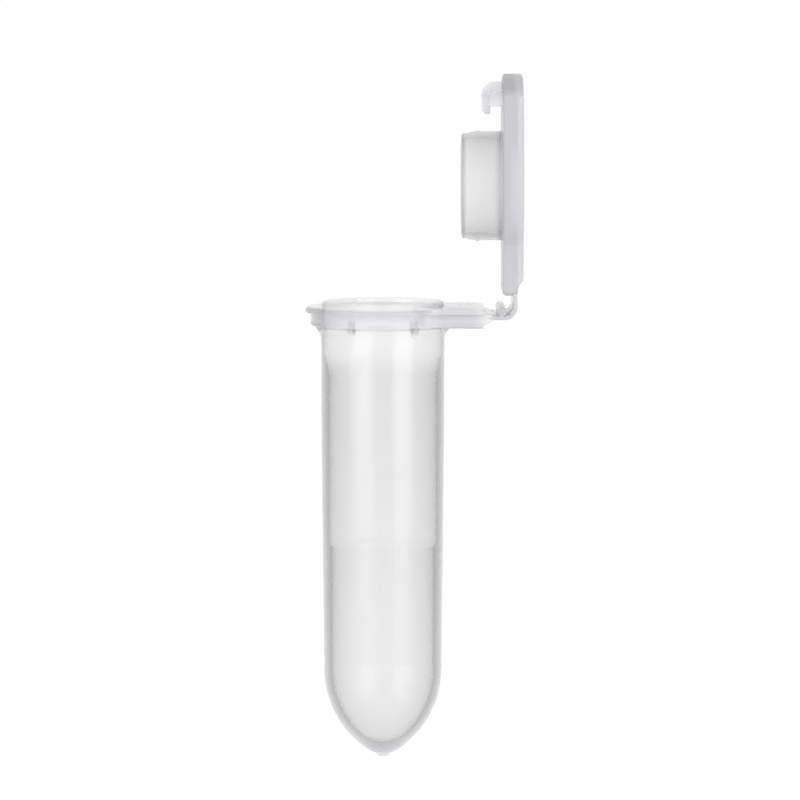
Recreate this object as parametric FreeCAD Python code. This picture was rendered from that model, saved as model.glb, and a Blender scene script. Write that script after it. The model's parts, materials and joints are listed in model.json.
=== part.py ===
"""A 2.0 mL snap-lock microcentrifuge tube of natural polypropylene, with its lid a right angle open.

Frame: millimetres, +Z up along the tube's axis, origin on that axis at the underside of the flange,
which is where the tube hangs in a rack. The hinge is on the +X side and folds about +Y.
Every solid is one region of the moulding and meets its neighbours face to face.
"""
import FreeCAD, Part
import math
import os

Vector = FreeCAD.Vector
Y_AXIS = Vector(0, 1, 0)
Z_AXIS = Vector(0, 0, 1)
ORIGIN = Vector(0, 0, 0)

# Tube: radii
neck_bore_r = 5.10
upper_bore_r = 4.65
lower_bore_r = 4.42
barrel_r = 5.45
barrel_foot_r = 5.22
collar_r = 5.50
rim_r = 5.42
seat_inner_r = 6.02
seat_outer_r = 6.25
flange_r = 6.37
lip_r = 6.90

# Tube: heights
rim_top = 2.15
flange_top = 1.70
collar_foot = -2.10
neck_bore_foot = -2.40
bore_taper_foot = -4.40
straight_barrel_foot = -8.0
bore_step = -19.8
barrel_foot = -30.6
tip = -38.20
floor_inside = -37.05
nub_r = 0.60
nub_drop = 0.15

# Tube: the thin lip round the flange, and the cone and the gussets under it
lip_foot = 1.20
lip_slope = 0.22
root_cone_drop = 0.20
gusset_count = 6
gusset_thickness = 0.60
gusset_drop = 0.95

# Outer bottom: an arc that leaves the barrel without a corner, then a rounded nose
ogive_r = 8.60

# Hinge: two fold lines joined by a short stiff link, which stands at 45 degrees with the lid open
hinge_width = 9.6
arm_top_width = 10.6
arm_end = 8.80
arm_tip_root_foot = 0.25
arm_tip_end_foot = 0.67
arm_step_start = 0.12
arm_step_end = 0.35
arm_step_foot = 1.30
lower_fold = Vector(9.90, 0, 0.92)
fold_distance = 2.17
strap_thickness = 0.36
strap_corner_r = 0.95
lower_bead_r = 0.24
upper_bead_r = 0.37
stiffener_r = 0.40
stiffener_place = Vector(0.55, 0, 0.52)
fold_gap = 0.06

# Lid, in its own frame: u towards the hinge, v across, w outwards from the inner face,
# with the origin at the middle of the plug's root
lid_closed_height = 2.20
plate_thickness = 1.30
rim_height = 0.50
rim_width = 1.0
disc_r = 7.00
centre_disc_r = 3.90
centre_disc_thickness = 0.70
thumb_r = 9.90
side_angle = 76.0
thumb_corner_r = 1.20
hinge_corner_r = 1.00
thumb_line = -7.20
hinge_line = 6.60
rim_end = 8.60
plug_length = 3.60
plug_r = 4.82
plug_tip_r = 4.60
plug_wall = 0.70
plug_tip_round = 0.20
bead_r = 4.92
bead_depth = 2.30
bead_half_length = 0.45

# Latch, in the lid's frame
latch_outer_r = 9.20
latch_inner_r = 8.30
latch_half_angle = 34.0
latch_drop = 1.80
latch_bevel = 0.70
barb_r = 6.50
barb_top = 1.05
barb_half_angle = 17.0
barb_slope = 0.30

# How far a cutting shape runs past what it cuts, and how close two points are to count as one
margin = 1.0
same_point = 1e-4

# What follows from the driving dimensions
upper_fold = lower_fold + Vector(1, 0, 1) * (fold_distance * math.sqrt(0.5))
fold_reach = lower_fold.x
fold_depth = lower_fold.z + fold_distance - lid_closed_height
lid_face_x = upper_fold.x - fold_depth
plug_axis_z = upper_fold.z + fold_reach


def point(r, z):
    """A point of a profile in the XZ plane."""
    return Vector(r, 0, z)


def line(a, b):
    return Part.LineSegment(a, b).toShape()


def arc(a, middle, b):
    return Part.Arc(a, middle, b).toShape()


def spin(edges):
    """Turn a closed profile in the XZ plane once round the Z axis."""
    face = Part.Face(Part.Wire(edges))
    return face.revolve(ORIGIN, Z_AXIS, 360)


def polygon_edges(corners):
    """The straight edges of a closed outline."""
    return [line(a, b) for a, b in zip(corners, corners[1:] + corners[:1])]


def turned(profile):
    """A ring from the corners (radius, height) of its section."""
    return spin(polygon_edges([point(r, z) for r, z in profile]))


def ring(inner_r, outer_r, low, high):
    """A plain ring or, with no inner radius, a disc."""
    solid = Part.makeCylinder(outer_r, high - low, Vector(0, 0, low))
    if inner_r:
        solid = solid.cut(Part.makeCylinder(inner_r, high - low, Vector(0, 0, low)))
    return solid


def sector(inner_r, outer_r, low, high, half_angle):
    """A stretch of a ring, centred on the -X side."""
    stretch = Part.makeCylinder(outer_r, high - low, Vector(0, 0, low), Z_AXIS, 2 * half_angle)
    stretch = stretch.cut(Part.makeCylinder(inner_r, high - low, Vector(0, 0, low)))
    stretch.rotate(ORIGIN, Z_AXIS, 180 - half_angle)
    return stretch


def outside_cone(low, high, low_r, high_r):
    """All that lies outside a cone between two heights, for cutting a bevel."""
    around = ring(0, max(low_r, high_r) + margin, low, high)
    return around.cut(Part.makeCone(low_r, high_r, high - low, Vector(0, 0, low)))


def plate_along_y(corners, width):
    """A prism across the hinge, from the corners (x, z) of its outline."""
    edges = polygon_edges([Vector(x, -width / 2, z) for x, z in corners])
    return Part.Face(Part.Wire(edges)).extrude(Y_AXIS * width)


def rod_along_y(centre, radius, width):
    return Part.makeCylinder(radius, width, Vector(centre.x, -width / 2, centre.z), Y_AXIS)


def nose(arc_r, lowest):
    """Centre height, radius and tangent point of the round nose that closes an ogive arc."""
    centre_r = barrel_foot_r - ogive_r
    depth = barrel_foot - lowest
    # the nose touches the ogive arc from inside and has its centre on the axis
    radius = (arc_r ** 2 - centre_r ** 2 - depth ** 2) / (2 * (arc_r - depth))
    centre_z = lowest + radius
    length = math.hypot(centre_r, centre_z - barrel_foot)
    tangent = point(
        centre_r + arc_r * -centre_r / length,
        barrel_foot + arc_r * (centre_z - barrel_foot) / length,
    )
    return centre_z, radius, tangent


def ogive_edges(arc_r, lowest):
    """The ogive arc and the nose arc, from the barrel's foot to the axis."""
    centre_r = barrel_foot_r - ogive_r
    centre_z, radius, tangent = nose(arc_r, lowest)
    start = point(centre_r + arc_r, barrel_foot)
    fall = math.atan2(barrel_foot - tangent.z, tangent.x - centre_r) / 2
    ogive_middle = point(centre_r + arc_r * math.cos(fall), barrel_foot - arc_r * math.sin(fall))
    swing = math.atan2(tangent.x, centre_z - tangent.z) / 2
    nose_middle = point(radius * math.sin(swing), centre_z - radius * math.cos(swing))
    end = point(0, lowest)
    return [arc(start, ogive_middle, tangent), arc(tangent, nose_middle, end)]


# The tube

def tapered_bottom():
    outer = ogive_edges(ogive_r, tip)
    inner = ogive_edges(ogive_r - (barrel_foot_r - lower_bore_r), floor_inside)
    across_top = line(point(lower_bore_r, barrel_foot), point(barrel_foot_r, barrel_foot))
    down_axis = line(point(0, floor_inside), point(0, tip))
    return spin(inner + [across_top] + outer + [down_axis])


def gate_nub():
    """The short stub left by the mould's gate, cut to the curve of the tip."""
    centre_z, radius, _ = nose(ogive_r, tip)
    stub = Part.makeCylinder(nub_r, 2 * nub_drop, Vector(0, 0, tip - nub_drop))
    return stub.cut(Part.makeSphere(radius, Vector(0, 0, centre_z)))


def barrel_radius(z):
    """The barrel is a true cylinder above, then drafts in evenly to its foot."""
    share = (straight_barrel_foot - z) / (straight_barrel_foot - barrel_foot)
    return barrel_r + max(share, 0) * (barrel_foot_r - barrel_r)


def lower_barrel():
    return turned([
        (lower_bore_r, barrel_foot),
        (barrel_foot_r, barrel_foot),
        (barrel_radius(bore_step), bore_step),
        (lower_bore_r, bore_step),
    ])


def upper_barrel():
    return turned([
        (upper_bore_r, bore_step),
        (barrel_radius(bore_step), bore_step),
        (barrel_r, straight_barrel_foot),
        (barrel_r, collar_foot),
        (neck_bore_r, collar_foot),
        (neck_bore_r, neck_bore_foot),
        (upper_bore_r, bore_taper_foot),
    ])


def neck(inner_r):
    """The neck out to its faintly conical side, from its bore or from the axis."""
    return turned([
        (inner_r, collar_foot),
        (barrel_r, collar_foot),
        (collar_r, -root_cone_drop),
        (collar_r, flange_top),
        (inner_r, flange_top),
    ])


def neck_collar():
    return neck(neck_bore_r)


def mouth_rim():
    """A raised ring whose top is rounded both ways."""
    round_r = (rim_r - neck_bore_r) / 2
    middle_r = neck_bore_r + round_r
    shoulder = rim_top - round_r
    return spin([
        line(point(neck_bore_r, flange_top), point(rim_r, flange_top)),
        line(point(rim_r, flange_top), point(rim_r, shoulder)),
        arc(point(rim_r, shoulder), point(middle_r, rim_top), point(neck_bore_r, shoulder)),
        line(point(neck_bore_r, shoulder), point(neck_bore_r, flange_top)),
    ])


def top_flange():
    """The plate that the tube hangs from: a flat seat below, outside the cone of its root."""
    return turned([
        (collar_r, -root_cone_drop),
        (seat_inner_r, 0),
        (seat_outer_r, 0),
        (flange_r, flange_r - seat_outer_r),
        (flange_r, flange_top),
        (collar_r, flange_top),
    ])


def flange_gussets():
    """Small triangular ribs in the corner under the flange, inside its flat seat."""
    outline = [
        (collar_r - margin, 0),
        (seat_inner_r, 0),
        (barrel_r, -gusset_drop),
        (collar_r - margin, -gusset_drop),
    ]
    first = plate_along_y(outline, gusset_thickness)
    first = first.cut(neck(0)).cut(top_flange())
    gussets = []
    for number in range(gusset_count):
        gusset = first.copy()
        gusset.rotate(ORIGIN, Z_AXIS, number * 360 / gusset_count)
        gussets.append(gusset)
    return Part.makeCompound(gussets)


def catch_lip():
    """The thin lip round the flange, with a slope that spreads the latch as the lid comes down."""
    lip = ring(flange_r, lip_r, lip_foot, flange_top)
    slope = outside_cone(flange_top - lip_slope, flange_top, lip_r, lip_r - lip_slope)
    return lip.cut(slope).cut(hinge_arm())


def hinge_arm():
    """The thick arm to the hinge, with the flange's thin lip running on along both its sides."""
    arm = Part.makeBox(arm_end, hinge_width, flange_top, Vector(0, -hinge_width / 2, 0))
    top = Part.makeBox(
        arm_end, arm_top_width, flange_top - lip_foot, Vector(0, -arm_top_width / 2, lip_foot)
    )
    arm = arm.fuse(top).removeSplitter()
    return arm.cut(ring(0, flange_r, -margin, flange_top + margin))


def arm_tip():
    """The arm's end, thinner from below and stepped down from above to leave the folded strap room."""
    end = lower_fold.x - lower_bead_r - fold_gap
    return plate_along_y(
        [
            (arm_end, arm_tip_root_foot),
            (end, arm_tip_end_foot),
            (end, lower_fold.z + lower_bead_r),
            (arm_end + arm_step_end, arm_step_foot),
            (arm_end + arm_step_start, flange_top),
            (arm_end, flange_top),
        ],
        hinge_width,
    )


# The hinge link

def hinge_strap():
    """A thin strap, bent once, that swells into a bead at each fold line."""
    half = strap_thickness / 2
    outer_x = upper_fold.x + upper_bead_r
    middle_x = outer_x - half
    low = lower_fold.z
    flat = plate_along_y(
        [
            (lower_fold.x, low - half),
            (middle_x - strap_corner_r, low - half),
            (middle_x - strap_corner_r, low + half),
            (lower_fold.x, low + half),
        ],
        hinge_width,
    )
    upright = plate_along_y(
        [
            (middle_x - half, low + strap_corner_r),
            (outer_x, low + strap_corner_r),
            (outer_x, upper_fold.z),
            (middle_x - half, upper_fold.z),
        ],
        hinge_width,
    )
    corner_centre = Vector(middle_x - strap_corner_r, 0, low + strap_corner_r)
    corner = rod_along_y(corner_centre, strap_corner_r + half, hinge_width)
    corner = corner.cut(rod_along_y(corner_centre, strap_corner_r - half, hinge_width))
    side = strap_corner_r + half
    quarter = Part.makeBox(
        side, hinge_width, side, Vector(corner_centre.x, -hinge_width / 2, corner_centre.z - side)
    )
    beads = [
        rod_along_y(lower_fold, lower_bead_r, hinge_width),
        rod_along_y(upper_fold, upper_bead_r, hinge_width),
    ]
    return flat.multiFuse([upright, corner.common(quarter)] + beads).removeSplitter()


def strap_bead():
    """A stiffening bead across the strap, in the crook of its bend."""
    bead = rod_along_y(lower_fold + stiffener_place, stiffener_r, hinge_width)
    return bead.cut(hinge_strap())


# The lid, made in its own frame

def lid_point(radius, degrees):
    """A point of the lid's plan, at an angle counted from the front of the lid."""
    turn = math.radians(degrees)
    return Vector(-radius * math.cos(turn), radius * math.sin(turn), 0)


def lid_outline(inset, low, high):
    """The plan of the whole lid, drawn in by an inset.

    A disc, with straight sides that leave it without a corner and run in to the curved front edge,
    and parallel sides that run back to the hinge.
    """
    radius = disc_r - inset
    front_r = thumb_r - inset
    half = hinge_width / 2 - inset
    end = fold_reach - upper_bead_r - fold_gap - inset
    front_angle = side_angle - math.degrees(math.acos(radius / front_r))
    back_angle = 180 - math.degrees(math.asin(half / radius))
    middle_angle = (side_angle + back_angle) / 2
    half_outline = [
        (lid_point(front_r, 0), lid_point(front_r, front_angle / 2), lid_point(front_r, front_angle)),
        (lid_point(front_r, front_angle), lid_point(radius, side_angle)),
        (
            lid_point(radius, side_angle),
            lid_point(radius, middle_angle),
            lid_point(radius, back_angle),
        ),
        (lid_point(radius, back_angle), Vector(end, half, 0)),
        (Vector(end, half, 0), Vector(end, 0, 0)),
    ]
    edges = []
    for side in (1, -1):
        for points in half_outline:
            placed = [Vector(p.x, side * p.y, low) for p in points]
            edges.append(arc(*placed) if len(placed) == 3 else line(*placed))
    wire = Part.Wire(Part.__sortEdges__(edges))
    solid = Part.Face(wire).extrude(Z_AXIS * (high - low)).removeSplitter()
    front_corners = upright_edges(solid, lid_point(front_r, front_angle))
    solid = solid.makeFillet(thumb_corner_r - inset / 2, front_corners)
    return solid.makeFillet(hinge_corner_r, upright_edges(solid, lid_point(radius, back_angle)))


def upright_edges(solid, corner):
    """The edges along Z at a corner of the plan and at its mirror image."""
    found = []
    for edge in solid.Edges:
        a, b = edge.Vertexes[0].Point, edge.Vertexes[-1].Point
        upright = math.hypot(a.x - b.x, a.y - b.y) < same_point < abs(a.z - b.z)
        if upright and math.hypot(a.x - corner.x, abs(a.y) - corner.y) < same_point:
            found.append(edge)
    return found


def between(solid, low_u, high_u):
    """The stretch of a lid solid between two planes across the lid."""
    size = 2 * thumb_r
    box = Part.makeBox(high_u - low_u, size, size, Vector(low_u, -size / 2, -size / 2))
    return solid.common(box)


def lid_plate():
    plate = between(lid_outline(0, 0, plate_thickness), thumb_line, hinge_line)
    return plate.cut(ring(0, centre_disc_r, 0, plate_thickness))


def lid_centre_disc():
    return ring(0, centre_disc_r, 0, centre_disc_thickness)


def thumb_tab():
    return between(lid_outline(0, 0, plate_thickness), -2 * thumb_r, thumb_line)


def lid_hinge_tab():
    return between(lid_outline(0, 0, plate_thickness), hinge_line, 2 * thumb_r)


def lid_rim():
    """A raised border round the outside of the lid, open at the hinge."""
    low, high = plate_thickness, plate_thickness + rim_height
    border = lid_outline(0, low, high).cut(lid_outline(rim_width, low, high))
    return between(border, -2 * thumb_r, rim_end)


def plug_skirt():
    """The hollow plug, drawn in towards its open end so that it swings clear of the bore."""
    return turned([
        (plug_r, 0),
        (plug_r, -bead_depth),
        (plug_tip_r, -plug_length + plug_tip_round),
        (plug_tip_r - plug_tip_round, -plug_length),
        (plug_r - plug_wall, -plug_length),
        (plug_r - plug_wall, 0),
    ])


def plug_bead():
    """The rounded bead round the plug that seals against the neck."""
    top = point(plug_r, -bead_depth + bead_half_length)
    foot = point(plug_r, -bead_depth)
    crest = point(bead_r, -bead_depth + bead_half_length / 2)
    return spin([arc(top, crest, foot), line(foot, top)])


# The latch, made in the lid's frame

def latch_wall():
    """The curved wall that carries the barb, bevelled outside along its free edge."""
    wall = sector(latch_inner_r, latch_outer_r, -latch_drop, 0, latch_half_angle)
    bevel = outside_cone(
        -latch_drop, latch_bevel - latch_drop, latch_outer_r - latch_bevel, latch_outer_r
    )
    return wall.cut(bevel)


def latch_barb():
    """The shelf that reaches in from the wall, sloped below so that it rides over the lip."""
    barb = sector(barb_r, latch_inner_r, -latch_drop, -barb_top, barb_half_angle)
    cone = Part.makeCone(barb_r + barb_slope, barb_r, barb_slope, Vector(0, 0, -latch_drop))
    return barb.cut(cone)


def on_lid(shape):
    """Carry a shape from the lid's frame to where the open lid stands."""
    shape = shape.copy()
    shape.rotate(ORIGIN, Y_AXIS, 90)
    shape.translate(Vector(lid_face_x, 0, plug_axis_z))
    return shape


TUBE_PARTS = [
    tapered_bottom, gate_nub, lower_barrel, upper_barrel, neck_collar, mouth_rim,
    top_flange, flange_gussets, catch_lip, hinge_arm, arm_tip,
]
LINK_PARTS = [hinge_strap, strap_bead]
LID_PARTS = [
    lid_plate, lid_centre_disc, lid_rim, thumb_tab, lid_hinge_tab, plug_skirt, plug_bead,
    latch_wall, latch_barb,
]


def main():
    os.makedirs("parts", exist_ok=True)
    shapes = {make.__name__: make() for make in TUBE_PARTS + LINK_PARTS}
    shapes.update({make.__name__: on_lid(make()) for make in LID_PARTS})
    for name, shape in shapes.items():
        shape.exportStep("parts/" + name + ".step")
        print(name, "valid" if shape.isValid() else "NOT VALID", len(shape.Solids), round(shape.Volume, 3))
    return shapes


main()
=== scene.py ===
"""A hazy polypropylene microcentrifuge tube with its hinged lid a right angle open.

Lengths are written in millimetres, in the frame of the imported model, and turned into metres when a
mesh is made. The real tube, strap and lid are one moulding, so the tube, the lid and the latch are one
closed skin each. The ribs under the flange are a piece of their own because they look darker, and the
strap is two because it folds along two lines.
"""

import json
import math

import bmesh
import bpy
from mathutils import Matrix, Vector


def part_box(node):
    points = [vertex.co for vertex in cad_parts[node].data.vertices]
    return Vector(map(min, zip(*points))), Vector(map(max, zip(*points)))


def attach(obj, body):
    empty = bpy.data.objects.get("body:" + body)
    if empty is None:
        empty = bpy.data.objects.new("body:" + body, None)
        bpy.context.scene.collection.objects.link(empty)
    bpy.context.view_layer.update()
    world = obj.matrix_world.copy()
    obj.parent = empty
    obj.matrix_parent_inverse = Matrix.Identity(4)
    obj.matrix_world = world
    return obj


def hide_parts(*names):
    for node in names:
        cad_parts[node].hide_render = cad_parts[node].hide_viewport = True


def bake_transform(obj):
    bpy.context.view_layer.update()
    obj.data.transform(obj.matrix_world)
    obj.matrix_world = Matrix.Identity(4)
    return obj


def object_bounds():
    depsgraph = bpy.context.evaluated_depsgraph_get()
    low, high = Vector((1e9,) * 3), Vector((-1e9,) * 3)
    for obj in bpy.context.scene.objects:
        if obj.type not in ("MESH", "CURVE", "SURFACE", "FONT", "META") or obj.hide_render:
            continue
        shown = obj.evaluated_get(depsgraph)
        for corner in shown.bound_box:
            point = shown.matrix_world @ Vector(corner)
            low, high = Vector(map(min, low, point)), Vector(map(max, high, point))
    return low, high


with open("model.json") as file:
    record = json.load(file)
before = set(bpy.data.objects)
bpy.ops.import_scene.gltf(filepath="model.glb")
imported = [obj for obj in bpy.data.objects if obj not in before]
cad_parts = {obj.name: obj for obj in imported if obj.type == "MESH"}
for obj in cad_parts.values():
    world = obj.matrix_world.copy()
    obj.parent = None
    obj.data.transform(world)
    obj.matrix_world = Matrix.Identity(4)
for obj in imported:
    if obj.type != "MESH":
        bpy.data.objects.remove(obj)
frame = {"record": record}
cad_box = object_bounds()

MM = 0.001

# Keeps two faces from lying in one plane where solids are joined
face_gap = 0.01


def lowest(node):
    """A node's lowest corner in millimetres."""
    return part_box(node)[0] / MM


def highest(node):
    """A node's highest corner in millimetres."""
    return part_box(node)[1] / MM


# The fold lines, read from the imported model
joints = {joint["name"]: joint for joint in frame["record"]["behaviour"]["joints"]}
lower_fold = Vector(joints["strap_fold"]["pos_m"]) / MM
upper_fold = Vector(joints["lid_fold"]["pos_m"]) / MM

# Tube: radii
neck_bore_r = 5.10
upper_bore_r = 4.65
lower_bore_r = 4.42
barrel_r = highest("upper_barrel").x
barrel_foot_r = highest("tapered_bottom").x
collar_r = highest("neck_collar").x
rim_r = highest("mouth_rim").x
seat_inner_r = 6.02
seat_outer_r = 6.25
flange_r = highest("top_flange").x
lip_r = -lowest("catch_lip").x
nub_r = highest("gate_nub").x
ogive_r = 8.60

# Tube: heights
rim_top = highest("mouth_rim").z
flange_top = highest("top_flange").z
lip_foot = lowest("catch_lip").z
lip_slope = 0.22
root_cone_drop = 0.20
gusset_drop = 0.95
collar_foot = lowest("neck_collar").z
neck_bore_foot = -2.40
bore_taper_foot = -4.40
straight_barrel_foot = -8.0
bore_step = lowest("upper_barrel").z
bore_step_slope = 0.30
barrel_foot = highest("tapered_bottom").z
floor_inside = -37.05
tip = lowest("tapered_bottom").z
nub_foot = lowest("gate_nub").z
gusset_count = 6
gusset_thickness = 0.60
gusset_let_in = 0.05
tube_columns = 168

# Tube: how far its corners are rounded
nub_edge = 0.08
neck_fillet = 0.25
cone_fillet = 0.12
seat_fillet = 0.15
lip_fillet = 0.08
lip_slope_fillet = 0.10
rim_fillet = 0.15
bore_fillet = 0.60
step_fillet = 0.08

# Hinge arm
hinge_width = 9.6
side_columns = 16
arm_half_width = highest("hinge_arm").y
arm_end = highest("hinge_arm").x
arm_tip_end = highest("arm_tip").x
arm_face = flange_top - 0.04
side_edge_r = 0.12
arm_fillet = 0.05
arm_step_fillet = 0.08
arm_root_r = (seat_inner_r + collar_r) / 2
arm_end_slant = 0.06
arm_tip_root_foot = 0.25
arm_tip_end_foot = 0.67
arm_tip_top = 1.16
arm_step_foot = 1.30
arm_step_start = 0.12
arm_step_end = 0.35

# Lid, in its own frame: u towards the hinge, v across, w outwards from the inner face
lid_face_x = lowest("lid_plate").x
plug_axis_z = (lowest("plug_skirt").z + highest("plug_skirt").z) / 2
plate_top = highest("lid_plate").x - lid_face_x
border_top = highest("lid_rim").x - lid_face_x
border_width = 1.0
border_slope = 0.08
border_margin = 0.50
border_end = plug_axis_z - lowest("lid_rim").z + 0.3
border_run_out = 0.8
disc_r = highest("lid_plate").y
front_r = highest("thumb_tab").z - plug_axis_z
hinge_half = highest("lid_hinge_tab").y
hinge_end = plug_axis_z - lowest("lid_hinge_tab").z
side_angle = 76.0
thumb_corner_r = 1.20
hinge_corner_r = 1.00
hinge_end_corner_r = 0.45
smallest_corner_r = 0.10
lid_edge_r = 0.28
centre_r = 3.90
centre_draft = 0.05
centre_margin = 0.60
centre_thickness = 0.70
plug_r = highest("plug_skirt").y
plug_tip_r = 4.60
plug_wall = 0.70
plug_foot = lowest("plug_skirt").x - lid_face_x
plug_root_margin = 0.35
bead_r = 4.92
bead_low, bead_middle, bead_high = -2.35, -2.15, -1.90

# Latch, in the lid's frame
latch_outer_r = highest("latch_wall").z - plug_axis_z
latch_inner_r = 8.30
latch_half_angle = 34.0
latch_foot = lowest("latch_wall").x - lid_face_x
latch_bevel = 0.70
latch_corner_r = 1.10
barb_r = 6.50
barb_top = highest("latch_barb").x - lid_face_x
barb_half_angle = 17.0
barb_let_in = 0.20
barb_end_height = 0.40
end_sharpness = 10
thinnest_end = 0.05

# Strap
strap_thickness = 0.36
strap_edge_r = 0.15
strap_corner_r = 0.95
strap_into_arm = 0.25
strap_into_lid = 0.15
upper_bead_r = 0.37
stiffener_r = 0.40
stiffener_centre = lower_fold + Vector((0.55, 0, 0.52))

# Plastic: how its skin bends light, how its gloss does, and how much its faint clouds darken it
skin_ior = 1.02
gloss_ior = 1.49
gloss_roughness = 0.12
cloud_shade = 0.985

# Floor, lights and camera, in metres
floor_half_width = 3.0
floor_drop = 0.025
floor_height = cad_box[0].z - floor_drop
light_distance = 0.5
light_size = (0.36, 0.5)
light_target = Vector((0, 0, -0.01))
camera_distance = 0.6
camera_view_width = 0.0709
camera_target = Vector((0.001525, 0, -0.00665))
camera_azimuth = -0.4
camera_elevation = 4.5


# Paths

def arc_points(centre, radius, start, end, count):
    """Points of an arc in a plane, both ends included, with the angles in degrees."""
    points = []
    for step in range(count + 1):
        turn = math.radians(start + (end - start) * step / count)
        points.append((centre[0] + radius * math.cos(turn), centre[1] + radius * math.sin(turn)))
    return points


def filleted(corners, steps=4):
    """A path through corners (a, b, fillet radius), each corner rounded by its radius."""
    path = []
    for number, (a, b, radius) in enumerate(corners):
        here = Vector((a, b))
        if radius == 0 or number in (0, len(corners) - 1):
            path.append((a, b))
            continue
        to_last = (Vector(corners[number - 1][:2]) - here).normalized()
        to_next = (Vector(corners[number + 1][:2]) - here).normalized()
        half = to_last.angle(to_next) / 2
        centre = here + (to_last + to_next).normalized() * (radius / math.sin(half))
        first = here + to_last * (radius / math.tan(half)) - centre
        last = here + to_next * (radius / math.tan(half)) - centre
        for step in range(steps + 1):
            spoke = first.slerp(last, step / steps)
            path.append(tuple(centre + spoke.normalized() * radius))
    return path


def rounded_rectangle(half_a, low_b, high_b, radius, steps=4):
    """A closed loop round a rectangle that is centred across a."""
    loop = []
    inner_a = half_a - radius
    corners = [
        ((inner_a, low_b + radius), -90),
        ((inner_a, high_b - radius), 0),
        ((-inner_a, high_b - radius), 90),
        ((-inner_a, low_b + radius), 180),
    ]
    for centre, start in corners:
        loop += arc_points(centre, radius, start, start + 90, steps)
    return loop


# Meshes

def loft(name, rings):
    """A closed skin over rings that have the same number of points, in millimetres."""
    mesh_builder = bmesh.new()
    rows = [[mesh_builder.verts.new(Vector(p) * MM) for p in ring] for ring in rings]
    for row, above in zip(rows, rows[1:]):
        for column in range(len(row)):
            following = (column + 1) % len(row)
            mesh_builder.faces.new((row[column], row[following], above[following], above[column]))
    mesh_builder.faces.new(reversed(rows[0]))
    mesh_builder.faces.new(rows[-1])
    bmesh.ops.remove_doubles(mesh_builder, verts=mesh_builder.verts, dist=1e-8)
    bmesh.ops.recalc_face_normals(mesh_builder, faces=mesh_builder.faces)
    mesh = bpy.data.meshes.new(name)
    mesh_builder.to_mesh(mesh)
    mesh_builder.free()
    piece = bpy.data.objects.new(name, mesh)
    bpy.context.scene.collection.objects.link(piece)
    return piece


def joined(base, others):
    """One skin round a base and the solids that grow out of it."""
    for other in others:
        union = base.modifiers.new("union", "BOOLEAN")
        union.operation = "UNION"
        union.solver = "EXACT"
        union.object = other
        bpy.context.view_layer.update()
        whole = bpy.data.meshes.new_from_object(
            base.evaluated_get(bpy.context.evaluated_depsgraph_get())
        )
        base.modifiers.remove(union)
        base.data = whole
        bpy.data.objects.remove(other)
    return base


def shaded(piece, material, degrees=32):
    """Smooth shading that keeps the sharp edges sharp."""
    piece.data.materials.clear()
    piece.data.materials.append(material)
    piece.data.shade_smooth()
    piece.data.set_sharp_from_angle(angle=math.radians(degrees))
    return piece


# The tube

def nose(arc_r, foot):
    """Centre height, radius and touching angle of the round nose that closes an ogive arc."""
    centre_r = barrel_foot_r - ogive_r
    depth = barrel_foot - foot
    radius = (arc_r ** 2 - centre_r ** 2 - depth ** 2) / (2 * (arc_r - depth))
    centre_z = foot + radius
    touch = math.degrees(math.atan2(centre_z - barrel_foot, -centre_r))
    return centre_z, radius, touch


def ogive(arc_r, foot, first_r):
    """The profile from the nose, at a radius from the axis, up to the barrel's foot."""
    centre_z, radius, touch = nose(arc_r, foot)
    start = -90 + math.degrees(math.asin(first_r / radius))
    round_nose = arc_points((0, centre_z), radius, start, touch, 14)
    flank = arc_points((barrel_foot_r - ogive_r, barrel_foot), arc_r, touch, 0, 16)
    return round_nose + flank[1:]


def stretch(a, b, count):
    """Points between two ends, the first end left out."""
    return [tuple(Vector(a).lerp(Vector(b), step / count)) for step in range(1, count + 1)]


def tube_profile():
    """Half of the tube's section, from the gate nub up the outside and down the bore."""
    outside = [(0, nub_foot), (nub_r - nub_edge, nub_foot), (nub_r, nub_foot + nub_edge)]
    outside += ogive(ogive_r, tip, nub_r)
    outside += stretch((barrel_foot_r, barrel_foot), (barrel_r, straight_barrel_foot), 6)
    neck = filleted([
        (barrel_r, straight_barrel_foot, 0),
        (barrel_r, collar_foot, neck_fillet),
        (collar_r, -root_cone_drop, cone_fillet),
        (seat_inner_r, 0, seat_fillet),
        (seat_outer_r, 0, 0),
        (flange_r, flange_r - seat_outer_r, 0),
        (flange_r, lip_foot, lip_fillet),
        (lip_r, lip_foot, lip_fillet),
        (lip_r, flange_top - lip_slope, lip_fillet),
        (lip_r - lip_slope, flange_top, lip_slope_fillet),
        (rim_r, flange_top, lip_fillet),
        (rim_r, rim_top, rim_fillet),
        (neck_bore_r, rim_top, rim_fillet),
        (neck_bore_r, neck_bore_foot, bore_fillet),
        (upper_bore_r, bore_taper_foot, bore_fillet),
        (upper_bore_r, bore_step + bore_step_slope, step_fillet),
        (lower_bore_r, bore_step, step_fillet),
        (lower_bore_r, barrel_foot, 0),
    ])
    inside = ogive(ogive_r - (barrel_foot_r - lower_bore_r), floor_inside, 0)
    return outside + neck[1:] + inside[-2::-1]


def turned(name, profile, columns):
    """A skin turned round the Z axis from a profile (radius, height)."""
    rings = []
    for r, z in profile:
        rings.append([(x, y, z) for x, y in arc_points((0, 0), r, 0, 360, columns)[:-1]])
    return loft(name, rings)


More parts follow.
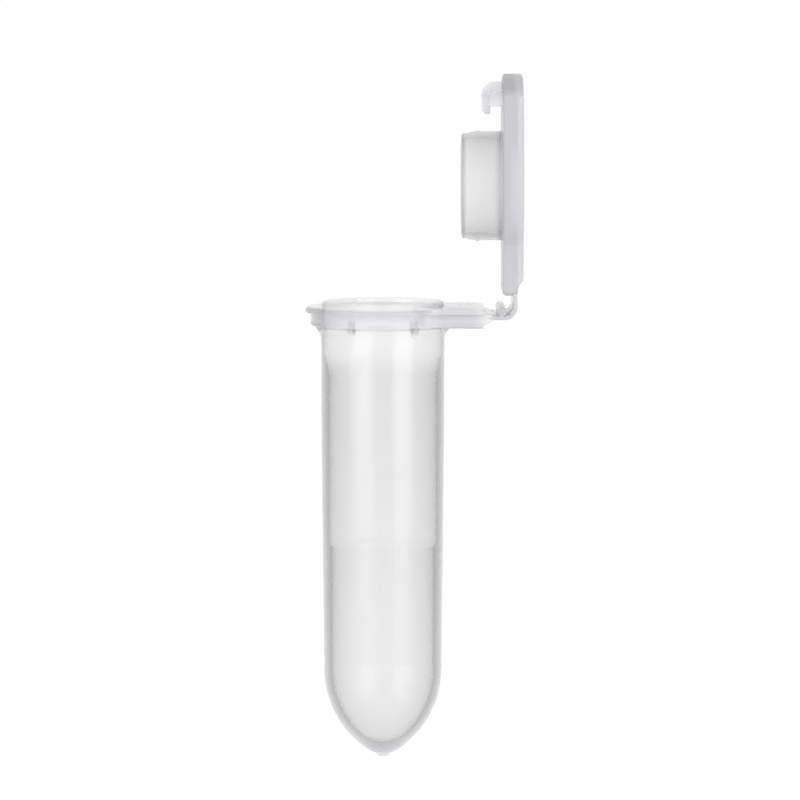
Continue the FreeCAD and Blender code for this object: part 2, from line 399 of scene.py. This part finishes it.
def across_hinge(name, half_width, outline):
    """A skin across the hinge, its side edges rounded, from an outline(y, inset) in the XZ plane."""
    side = []
    for degrees in (0, 30, 60, 90):
        turn = math.radians(degrees)
        side.append((side_edge_r * (1 - math.cos(turn)), side_edge_r * (1 - math.sin(turn))))
    inner_half = half_width - side_edge_r
    stations = [(depth - half_width, inset) for depth, inset in side]
    stations += [(inner_half * (2 * n / side_columns - 1), 0) for n in range(1, side_columns)]
    stations += [(half_width - depth, inset) for depth, inset in reversed(side)]
    return loft(name, [[(x, y, z) for x, z in outline(y, inset)] for y, inset in stations])


def arm_root(y):
    """Where the arm starts, on a circle inside the flange."""
    return math.sqrt(arm_root_r ** 2 - y ** 2)


def arm_outline(y, inset):
    """The thick arm and its thinner, stepped end."""
    foot = face_gap + inset
    return filleted([
        (arm_root(y), foot, 0),
        (arm_end - inset, foot, arm_fillet),
        (arm_end + arm_end_slant - inset, arm_tip_root_foot + inset, arm_fillet),
        (arm_tip_end - inset, arm_tip_end_foot + inset, arm_fillet),
        (arm_tip_end - inset, arm_tip_top - inset, arm_fillet),
        (arm_end + arm_step_end - inset, arm_step_foot - inset, arm_step_fillet),
        (arm_end + arm_step_start - inset, arm_face - inset, arm_fillet),
        (arm_root(y), arm_face - inset, 0),
    ])


def arm_top_outline(y, inset):
    """The flange's thin lip, which runs on along both sides of the arm."""
    low = lip_foot + face_gap + inset
    high = flange_top - face_gap - inset
    end = arm_end - inset
    return filleted([
        (arm_root(y), low, 0),
        (end, low, arm_fillet),
        (end, high, arm_fillet),
        (arm_root(y), high, 0),
    ])


def gusset(number):
    """A small rib in the corner under the flange, its back and top let into the tube."""
    turn = math.radians(number * 360 / gusset_count)
    outward = Vector((math.cos(turn), math.sin(turn), 0))
    across = Vector((-math.sin(turn), math.cos(turn), 0))
    outline = [
        (barrel_r - gusset_let_in, gusset_let_in),
        (seat_inner_r, gusset_let_in),
        (seat_inner_r, 0),
        (barrel_r, -gusset_drop),
        (barrel_r - gusset_let_in, -gusset_drop),
    ]
    rings = []
    for side in (-0.5, 0.5):
        offset = across * side * gusset_thickness
        rings.append([tuple(outward * r + offset + Vector((0, 0, z))) for r, z in outline])
    return loft("gusset_ribs", rings)


def flange_gussets(material):
    """The ribs under the flange, as one piece."""
    gussets = [gusset(number) for number in range(gusset_count)]
    return shaded(joined(gussets[0], gussets[1:]), material)


def tube_moulding(material):
    """The tube with the hinge's arm, as one skin."""
    tube = turned("tube_moulding", tube_profile(), tube_columns)
    arm = across_hinge("arm", hinge_width / 2, arm_outline)
    arm_top = across_hinge("arm_top", arm_half_width, arm_top_outline)
    return shaded(joined(tube, [arm, arm_top]), material)


# The lid

def on_lid(u, v, w):
    """A point of the lid's own frame where the open lid stands."""
    return (lid_face_x + w, v, plug_axis_z - u)


def lid_outline(inset):
    """The lid's plan drawn in by an inset, always with the same number of points."""
    radius, front, half = disc_r - inset, front_r - inset, hinge_half - inset
    end = hinge_end - inset
    front_fillet = thumb_corner_r - inset / 2
    back_fillet = hinge_corner_r + inset
    end_fillet = max(hinge_end_corner_r - inset / 2, smallest_corner_r)
    side = math.radians(side_angle)
    normal = Vector((-math.cos(side), math.sin(side)))
    forward = Vector((-math.sin(side), -math.cos(side)))
    reach = math.sqrt((front - front_fillet) ** 2 - (radius - front_fillet) ** 2)
    front_centre = normal * (radius - front_fillet) + forward * reach
    front_start = math.degrees(math.atan2(front_centre.y, front_centre.x))
    back_u = math.sqrt((radius + back_fillet) ** 2 - (half + back_fillet) ** 2)
    back_centre = Vector((back_u, half + back_fillet))
    back_start = math.degrees(math.atan2(back_centre.y, back_centre.x))
    points = arc_points((0, 0), front, 180, front_start, 12)
    points += arc_points(front_centre, front_fillet, front_start, 180 - side_angle, 8)[1:]
    points += stretch(points[-1], tuple(normal * radius), 5)
    points += arc_points((0, 0), radius, 180 - side_angle, back_start, 16)[1:]
    points += arc_points(back_centre, back_fillet, back_start + 180, 270, 6)[1:]
    points += stretch(points[-1], (end - end_fillet, half), 9)
    points += arc_points((end - end_fillet, half - end_fillet), end_fillet, 90, 0, 5)[1:]
    points += stretch(points[-1], (end, 0), 6)
    mirrored = [(u, -v) for u, v in points[-2:0:-1]]
    return points + mirrored


def lid_circle(radius, plan):
    """A circle round the plug's axis, its points on the spokes through the plan's points."""
    points = []
    for u, v in plan:
        turn = math.atan2(v, u)
        points.append((radius * math.cos(turn), radius * math.sin(turn)))
    return points


def round_rings(profile, plan):
    """Rings round the plug's axis, from a profile (radius, height above the inner face)."""
    return [[on_lid(u, v, w) for u, v in lid_circle(r, plan)] for r, w in profile]


def plug_profile():
    """Half of the hollow plug's section, from the middle of the lid out to the plug's root."""
    bore_r = plug_r - plug_wall
    return filleted([
        (0, 0, 0),
        (bore_r, 0, 0.25),
        (bore_r, plug_foot, 0.16),
        (plug_tip_r, plug_foot, 0.22),
        (plug_r, bead_low, 0.5),
        (bead_r, bead_middle, 0.12),
        (plug_r, bead_high, 0.3),
        (plug_r, 0, 0.2),
        (plug_r + plug_root_margin, 0, 0),
    ])


def edge_rings():
    """The rounded edge between the lid's inner face and its side."""
    rings = []
    for degrees in range(0, 91, 18):
        turn = math.radians(degrees)
        inset = lid_edge_r * (1 - math.sin(turn))
        height = lid_edge_r * (1 - math.cos(turn))
        rings.append([on_lid(u, v, height) for u, v in lid_outline(inset)])
    return rings


def smooth(value):
    """A share from 0 to 1 that starts and ends gently."""
    value = min(max(value, 0), 1)
    return value * value * (3 - 2 * value)


def border_rings(plan):
    """The raised border, which runs out to the height of the plate beside the hinge."""
    profile = filleted([
        (0, 0, 0),
        (0, border_top, 0.26),
        (border_width - border_slope, border_top, 0.16),
        (border_width, plate_top, 0.14),
        (border_width + border_margin, plate_top, 0),
    ])
    shares = [smooth((border_end - u) / border_run_out) for u, v in plan]
    rings = []
    for inset, w in profile[1:]:
        on_outer_edge = inset < border_width / 2
        low = w - (border_top - plate_top) if on_outer_edge else plate_top
        ring = []
        for (u, v), share in zip(lid_outline(inset), shares):
            ring.append(on_lid(u, v, low + (w - low) * share))
        rings.append(ring)
    return rings


def recess_profile():
    """Half of the shallow recess over the plug, from outside it to the middle of the lid."""
    return filleted([
        (centre_r + centre_margin, plate_top, 0),
        (centre_r, plate_top, 0.12),
        (centre_r - centre_draft, centre_thickness, 0.15),
        (0, centre_thickness, 0),
    ])


def lid_moulding(material):
    """One skin, from the middle of the inner face, over the edge, to the middle of the outer face."""
    plan = lid_outline(0)
    rings = round_rings(plug_profile(), plan) + edge_rings() + border_rings(plan)
    rings += round_rings(recess_profile(), plan)
    return shaded(loft("lid_moulding", rings), material)


# The latch

def sweep_angles(half_angle, steps):
    """Angles from one end of a sweep to the other, closer together near its ends."""
    return [-half_angle * math.cos(math.pi * step / steps) for step in range(steps + 1)]


def wall_height(degrees):
    """How much of its height the latch wall has: all of it but for its two rounded corners."""
    to_end = latch_outer_r * math.radians(latch_half_angle - abs(degrees))
    into_corner = max(1 - to_end / latch_corner_r, 0)
    cut = latch_corner_r * (1 - math.sqrt(1 - into_corner ** 2))
    return 1 + cut / latch_foot


def end_taper(degrees, half_angle):
    """How full a section is: whole along most of a sweep, and drawn in at its ends."""
    return math.sqrt(max(1 - abs(degrees / half_angle) ** end_sharpness, thinnest_end))


def latch_wall():
    """The curved wall, bevelled outside along its free edge."""
    middle = (latch_inner_r + latch_outer_r) / 2
    section = filleted([
        (middle, -face_gap, 0),
        (latch_outer_r, -face_gap, 0.15),
        (latch_outer_r, latch_foot + latch_bevel, 0.35),
        (latch_outer_r - latch_bevel, latch_foot, 0.12),
        (latch_inner_r, latch_foot, 0.08),
        (latch_inner_r, -face_gap, 0.15),
        (middle, -face_gap, 0),
    ])
    sections = []
    for degrees in sweep_angles(latch_half_angle, 28):
        full = end_taper(degrees, latch_half_angle)
        height = wall_height(degrees)
        loop = [(middle + (r - middle) * full, w * height) for r, w in section[:-1]]
        sections.append((degrees, loop))
    return swept_latch("latch_moulding", sections)


def latch_barb():
    """The barb that reaches in from the wall, round nosed and sloped below."""
    low = latch_foot + face_gap
    root = latch_inner_r + barb_let_in
    sections = []
    for degrees in sweep_angles(barb_half_angle, 20):
        full = end_taper(degrees, barb_half_angle)
        height_share = barb_end_height + (1 - barb_end_height) * full
        high = low + (barb_top - low) * height_share
        tip_r = latch_inner_r - (latch_inner_r - barb_r) * full
        nose_top = [(tip_r + 0.12, high), (tip_r + 0.03, high - 0.05), (tip_r, high - 0.16)]
        slope = [(tip_r + 0.04, low + 0.24), (tip_r + 0.30, low)]
        sections.append((degrees, [(root, low), (root, high)] + nose_top + slope))
    return swept_latch("latch_barb", sections)


def latch_moulding(material):
    """The wall and its barb, as one skin."""
    return shaded(joined(latch_wall(), [latch_barb()]), material)


def swept_latch(name, sections):
    """A skin over sections (angle from the lid's front, loop of (radius, height above the face))."""
    rings = []
    for degrees, loop in sections:
        turn = math.radians(degrees)
        rings.append([on_lid(-r * math.cos(turn), r * math.sin(turn), w) for r, w in loop])
    return loft(name, rings)


# The strap

def strap_path():
    """The strap's middle line in the XZ plane: out of the arm, round the bend, up to the lid."""
    middle_x = upper_fold.x + upper_bead_r - strap_thickness / 2
    low = lower_fold.z
    start = (arm_tip_end - strap_into_arm, low)
    end = (middle_x, lowest("lid_hinge_tab").z + strap_into_lid)
    flat = [start] + stretch(start, (middle_x - strap_corner_r, low), 8)
    bend = arc_points((middle_x - strap_corner_r, low + strap_corner_r), strap_corner_r, -90, 0, 10)
    upright = stretch((middle_x, low + strap_corner_r), end, 8)
    return flat + bend[1:] + upright


def strap_skin(name, path):
    """A flat strap along a path, with rounded long edges."""
    half = strap_thickness / 2
    loop = rounded_rectangle(hinge_width / 2, -half, half, strap_edge_r)
    rings = []
    for number, (x, z) in enumerate(path):
        last = Vector(path[max(number - 1, 0)])
        following = Vector(path[min(number + 1, len(path) - 1)])
        heading = (following - last).normalized()
        out = Vector((heading.y, -heading.x))
        rings.append([(x + out.x * b, a, z + out.y * b) for a, b in loop])
    return loft(name, rings)


def strap_pieces(material):
    """The strap in two halves, one for each fold line."""
    path = strap_path()
    half = len(path) // 2 + 1
    lower = shaded(strap_skin("strap_lower", path[:half]), material)
    upper = shaded(strap_skin("strap_upper", path[half - 1:]), material)
    return lower, upper


def bead_outline(y, inset):
    """The bead's round section, the same all the way across but for its rounded ends."""
    return arc_points((stiffener_centre.x, stiffener_centre.z), stiffener_r - inset, 0, 360, 32)[:-1]


def strap_bead(material):
    """The stiffening bead across the strap, round ended."""
    return shaded(across_hinge("stiffening_bead", hinge_width / 2, bead_outline), material)


# Materials

def node_of(material, kind, **values):
    """A shader node of a kind, its unlinked inputs set by name."""
    node = material.node_tree.nodes.new(kind)
    for name, value in values.items():
        node.inputs[name.replace("_", " ")].default_value = value
    return node


def ramped(material, value, start, end, low, high):
    """A value that goes from low to high as another goes between two numbers of millimetres."""
    ramp = node_of(material, "ShaderNodeMapRange", From_Min=start * MM, From_Max=end * MM)
    ramp.interpolation_type = "SMOOTHSTEP"
    ramp.inputs["To Min"].default_value = low
    ramp.inputs["To Max"].default_value = high
    material.node_tree.links.new(value, ramp.inputs["Value"])
    return ramp.outputs["Result"]


def along(material, axis, start, end, low, high):
    """A value that goes from low to high between two places on an axis of the piece."""
    place = node_of(material, "ShaderNodeTexCoord")
    split = node_of(material, "ShaderNodeSeparateXYZ")
    material.node_tree.links.new(place.outputs["Object"], split.inputs["Vector"])
    return ramped(material, split.outputs[axis], start, end, low, high)


def outwards(material, start, end, low, high):
    """A value that goes from low to high between two distances from the tube's axis."""
    links = material.node_tree.links
    place = node_of(material, "ShaderNodeTexCoord")
    flat = node_of(material, "ShaderNodeVectorMath")
    flat.operation = "MULTIPLY"
    flat.inputs[1].default_value = (1, 1, 0)
    links.new(place.outputs["Object"], flat.inputs[0])
    reach = node_of(material, "ShaderNodeVectorMath")
    reach.operation = "LENGTH"
    links.new(flat.outputs["Vector"], reach.inputs[0])
    return ramped(material, reach.outputs["Value"], start, end, low, high)


def product(material, *values):
    """The product of values of the material's nodes."""
    result = values[0]
    for value in values[1:]:
        times = node_of(material, "ShaderNodeMath")
        times.operation = "MULTIPLY"
        material.node_tree.links.new(result, times.inputs[0])
        material.node_tree.links.new(value, times.inputs[1])
        result = times.outputs["Value"]
    return result


def less(material, whole, value):
    """What is left of a number when a value of the material's nodes is taken from it."""
    minus = node_of(material, "ShaderNodeMath")
    minus.operation = "SUBTRACT"
    minus.inputs[0].default_value = whole
    material.node_tree.links.new(value, minus.inputs[1])
    return minus.outputs["Value"]


def plastic(name, colour, absorbed, density, coarse, coat):
    """Hazy polypropylene: light passes through it, and it darkens with thickness.

    The haze bends light much less than a clear solid does, so the skin's index is low and the gloss
    comes from a coat.
    """
    material = bpy.data.materials.new(name)
    material.use_nodes = True
    links = material.node_tree.links
    shader = material.node_tree.nodes["Principled BSDF"]
    output = material.node_tree.nodes["Material Output"]
    shader.inputs["IOR"].default_value = skin_ior
    shader.inputs["Coat Weight"].default_value = coat
    shader.inputs["Coat IOR"].default_value = gloss_ior
    shader.inputs["Coat Roughness"].default_value = gloss_roughness
    place = node_of(material, "ShaderNodeTexCoord")
    clouds = node_of(material, "ShaderNodeTexNoise", Scale=260, Detail=3)
    links.new(place.outputs["Object"], clouds.inputs["Vector"])
    tint = node_of(material, "ShaderNodeValToRGB")
    tint.color_ramp.elements[0].position = 0.3
    tint.color_ramp.elements[0].color = [c * cloud_shade for c in colour] + [1]
    tint.color_ramp.elements[1].position = 0.7
    tint.color_ramp.elements[1].color = list(colour) + [1]
    links.new(clouds.outputs["Fac"], tint.inputs["Fac"])
    links.new(tint.outputs["Color"], shader.inputs["Base Color"])
    haze = node_of(material, "ShaderNodeMapRange", To_Min=coarse * 0.8, To_Max=coarse * 1.25)
    links.new(clouds.outputs["Fac"], haze.inputs["Value"])
    links.new(haze.outputs["Result"], shader.inputs["Roughness"])
    grain = node_of(material, "ShaderNodeTexNoise", Scale=1800, Detail=2)
    links.new(place.outputs["Object"], grain.inputs["Vector"])
    bump = node_of(material, "ShaderNodeBump", Strength=0.05, Distance=0.00002)
    links.new(grain.outputs["Fac"], bump.inputs["Height"])
    links.new(bump.outputs["Normal"], shader.inputs["Normal"])
    absorption = node_of(material, "ShaderNodeVolumeAbsorption", Density=density)
    absorption.inputs["Color"].default_value = list(absorbed) + [1]
    links.new(absorption.outputs["Volume"], output.inputs["Volume"])
    return material


def clearness(material, value):
    """How much of the light that meets the skin goes through it: a number, or a value of its nodes."""
    socket = material.node_tree.nodes["Principled BSDF"].inputs["Transmission Weight"]
    if isinstance(value, float):
        socket.default_value = value
    else:
        material.node_tree.links.new(value, socket)


def tinted(material, share, colour):
    """Multiply the skin's colour by another, by a share that its nodes give."""
    links = material.node_tree.links
    socket = material.node_tree.nodes["Principled BSDF"].inputs["Base Color"]
    mix = node_of(material, "ShaderNodeMixRGB")
    mix.blend_type = "MULTIPLY"
    links.new(socket.links[0].from_socket, mix.inputs["Color1"])
    mix.inputs["Color2"].default_value = list(colour) + [1]
    links.new(share, mix.inputs["Fac"])
    links.new(mix.outputs["Color"], socket)


def tube_plastic():
    """Clear in the barrel, milkier in the flange, and milkiest in the thick arm."""
    material = plastic("tube_plastic", colour=(1.0, 0.998, 0.996), absorbed=(0.25, 0.26, 0.28),
                       density=214, coarse=0.16, coat=0.7)
    outside_bore = outwards(material, collar_r, seat_inner_r, 0, 1)
    flange_milk = along(material, "Z", -0.3, 0.2, 0.01, 0.26)
    arm_milk = product(
        material,
        along(material, "Z", -0.3, 0.2, 0.03, 1.0),
        outside_bore,
        along(material, "X", 3.2, 4.6, 0, 0.4),
    )
    clearness(material, product(
        material, less(material, 1.0, flange_milk), less(material, 1.0, arm_milk)
    ))
    wide_bore = along(material, "Z", bore_step - 0.1, bore_step + 0.4, 0, 1)
    tinted(material, wide_bore, (0.98, 0.98, 0.98))
    solid_tip = along(material, "Z", floor_inside - 0.35, floor_inside + 0.05, 1, 0)
    tinted(material, solid_tip, (0.86, 0.87, 0.88))
    # Painted shade: a darker band round the flange's foot and the seat, where it meets the neck
    flange_foot_shade = product(
        material,
        along(material, "Z", -0.35, -0.1, 0, 1),
        along(material, "Z", 0.35, 0.55, 1, 0),
    )
    tinted(material, flange_foot_shade, (0.92, 0.92, 0.93))
    rim = along(material, "Z", flange_top + 0.02, flange_top + 0.15, 0, 1)
    tinted(material, rim, (0.93, 0.93, 0.94))
    # Painted shade: the lip's outer band is darkened, its top face less so
    below_face = along(material, "Z", arm_face - 0.08, arm_face - 0.02, 1, 0.4)
    lip = product(
        material,
        outwards(material, flange_r - 0.05, flange_r + 0.05, 0, 1),
        along(material, "X", 3.8, 4.6, 1, 0),
        below_face,
    )
    tinted(material, lip, (0.82, 0.82, 0.85))
    # Painted shade: the arm's sides are darkened, less on its top face and towards its end
    arm = product(
        material,
        along(material, "X", 3.8, 4.6, 0, 1),
        along(material, "X", 7.6, 9.2, 1, 0.25),
        outside_bore,
        along(material, "Z", -0.2, 0, 0, 1),
        below_face,
    )
    tinted(material, arm, (0.79, 0.79, 0.82))
    return material


def gusset_plastic():
    """The ribs under the flange: dark where they are deep, and fading out towards their feet."""
    material = plastic("gusset_plastic", colour=(0.98, 0.98, 0.98), absorbed=(0.25, 0.25, 0.26),
                       density=300, coarse=0.2, coat=0.3)
    clearness(material, along(material, "Z", -0.75, -0.35, 0.95, 0.60))
    tinted(material, along(material, "Z", -0.75, -0.35, 0, 1), (0.76, 0.76, 0.77))
    return material


def lid_plastic():
    """Milky in the thick plate, clearer in the thin plug."""
    material = plastic("lid_plastic", colour=(0.92, 0.92, 0.92), absorbed=(0.40, 0.40, 0.42),
                       density=200, coarse=0.22, coat=0.3)
    clearness(material, along(material, "X", lid_face_x - 0.6, lid_face_x + 0.1, 0.88, 0.45))
    plate = along(material, "X", lid_face_x - 0.6, lid_face_x + 0.1, 0, 1)
    tinted(material, plate, (0.72, 0.72, 0.76))
    latch_root = product(
        material,
        along(material, "Z", plug_axis_z + 7.9, plug_axis_z + 8.6, 0, 1),
        along(material, "X", lid_face_x + 0.9, lid_face_x + 1.2, 1, 0.2),
    )
    tinted(material, latch_root, (0.84, 0.84, 0.84))
    end = lid_face_x + plug_foot
    # Painted shade on the plug's rounded open end
    plug_end_shade = along(material, "X", end + 0.10, end + 0.45, 1, 0)
    tinted(material, plug_end_shade, (0.74, 0.74, 0.75))
    return material


def latch_plastic():
    """Thin, and so clearer than the lid that it hangs from."""
    material = plastic("latch_plastic", colour=(0.88, 0.88, 0.90), absorbed=(0.40, 0.40, 0.46),
                       density=60, coarse=0.2, coat=0.4)
    clearness(material, 0.75)
    return material


def hinge_plastic(name, colour):
    """The strap and its bead, worked white by folding."""
    material = plastic(name, colour, absorbed=(0.30, 0.30, 0.33),
                       density=140, coarse=0.2, coat=0.5)
    clearness(material, 0.6)
    return material


# The studio

def floor():
    """A plain white floor, some way below the tube's tip."""
    mesh_builder = bmesh.new()
    half = floor_half_width
    corners = [(-half, -half), (half, -half), (half, half), (-half, half)]
    mesh_builder.faces.new([mesh_builder.verts.new((x, y, floor_height)) for x, y in corners])
    mesh = bpy.data.meshes.new("floor")
    mesh_builder.to_mesh(mesh)
    mesh_builder.free()
    plane = bpy.data.objects.new("floor", mesh)
    bpy.context.scene.collection.objects.link(plane)
    material = bpy.data.materials.new("floor_white")
    material.use_nodes = True
    shader = material.node_tree.nodes["Principled BSDF"]
    shader.inputs["Base Color"].default_value = (1, 1, 1, 1)
    shader.inputs["Roughness"].default_value = 1
    shader.inputs["Specular IOR Level"].default_value = 0
    mesh.materials.append(material)


def soft_light(name, azimuth, elevation, power):
    """A rectangular soft light that faces the tube."""
    light = bpy.data.lights.new(name, "AREA")
    light.shape = "RECTANGLE"
    light.size, light.size_y = light_size
    light.energy = power
    lamp = bpy.data.objects.new(name, light)
    bpy.context.scene.collection.objects.link(lamp)
    aim(lamp, light_target, azimuth, elevation, light_distance)


def aim(thing, target, azimuth, elevation, distance):
    """Stand a thing at a bearing from a target, looking at it. Azimuth 0 is the -Y side."""
    around, up = math.radians(azimuth), math.radians(elevation)
    away = Vector((math.sin(around) * math.cos(up), -math.cos(around) * math.cos(up), math.sin(up)))
    thing.location = target + away * distance
    thing.rotation_euler = (-away).to_track_quat("-Z", "Y").to_euler()


def studio():
    """A white room, one soft light each side, and the camera."""
    scene = bpy.context.scene
    scene.view_settings.view_transform = "Standard"
    world = bpy.data.worlds.new("studio")
    world.use_nodes = True
    world.node_tree.nodes["Background"].inputs["Color"].default_value = (1, 1, 1, 1)
    world.node_tree.nodes["Background"].inputs["Strength"].default_value = 1.01
    scene.world = world
    soft_light("left_light", -45, 8, 1.13)
    soft_light("right_light", 37, 8, 1.05)
    lens = bpy.data.cameras.new("camera")
    lens.sensor_width = 36
    lens.lens = lens.sensor_width * camera_distance / camera_view_width
    lens.clip_start = 0.01
    camera = bpy.data.objects.new("camera", lens)
    scene.collection.objects.link(camera)
    aim(camera, camera_target, camera_azimuth, camera_elevation, camera_distance)
    scene.camera = camera


def add_tube():
    """The tube and its ribs, which stay still."""
    tube = tube_moulding(tube_plastic())
    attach(tube, "tube")
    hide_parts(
        "tapered_bottom", "gate_nub", "lower_barrel", "upper_barrel", "neck_collar",
        "mouth_rim", "top_flange", "catch_lip", "hinge_arm", "arm_tip",
    )
    gussets = flange_gussets(gusset_plastic())
    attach(gussets, "tube")
    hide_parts("flange_gussets")


def add_lid():
    """The lid, and the latch that hangs from it."""
    lid = lid_moulding(lid_plastic())
    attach(lid, "lid")
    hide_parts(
        "lid_plate", "lid_centre_disc", "lid_rim", "thumb_tab", "lid_hinge_tab",
        "plug_skirt", "plug_bead",
    )
    latch = latch_moulding(latch_plastic())
    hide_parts("latch_wall", "latch_barb")
    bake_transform(latch)


def add_hinge():
    """The strap in two halves, and the bead, which rides on its stiff middle."""
    lower, upper = strap_pieces(hinge_plastic("strap_plastic", (0.85, 0.85, 0.86)))
    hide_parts("hinge_strap")
    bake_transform(lower)
    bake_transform(upper)
    bead = strap_bead(hinge_plastic("bead_plastic", (0.78, 0.78, 0.79)))
    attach(bead, "hinge_link")
    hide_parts("strap_bead")


def main():
    add_tube()
    add_lid()
    add_hinge()
    floor()
    studio()


main()
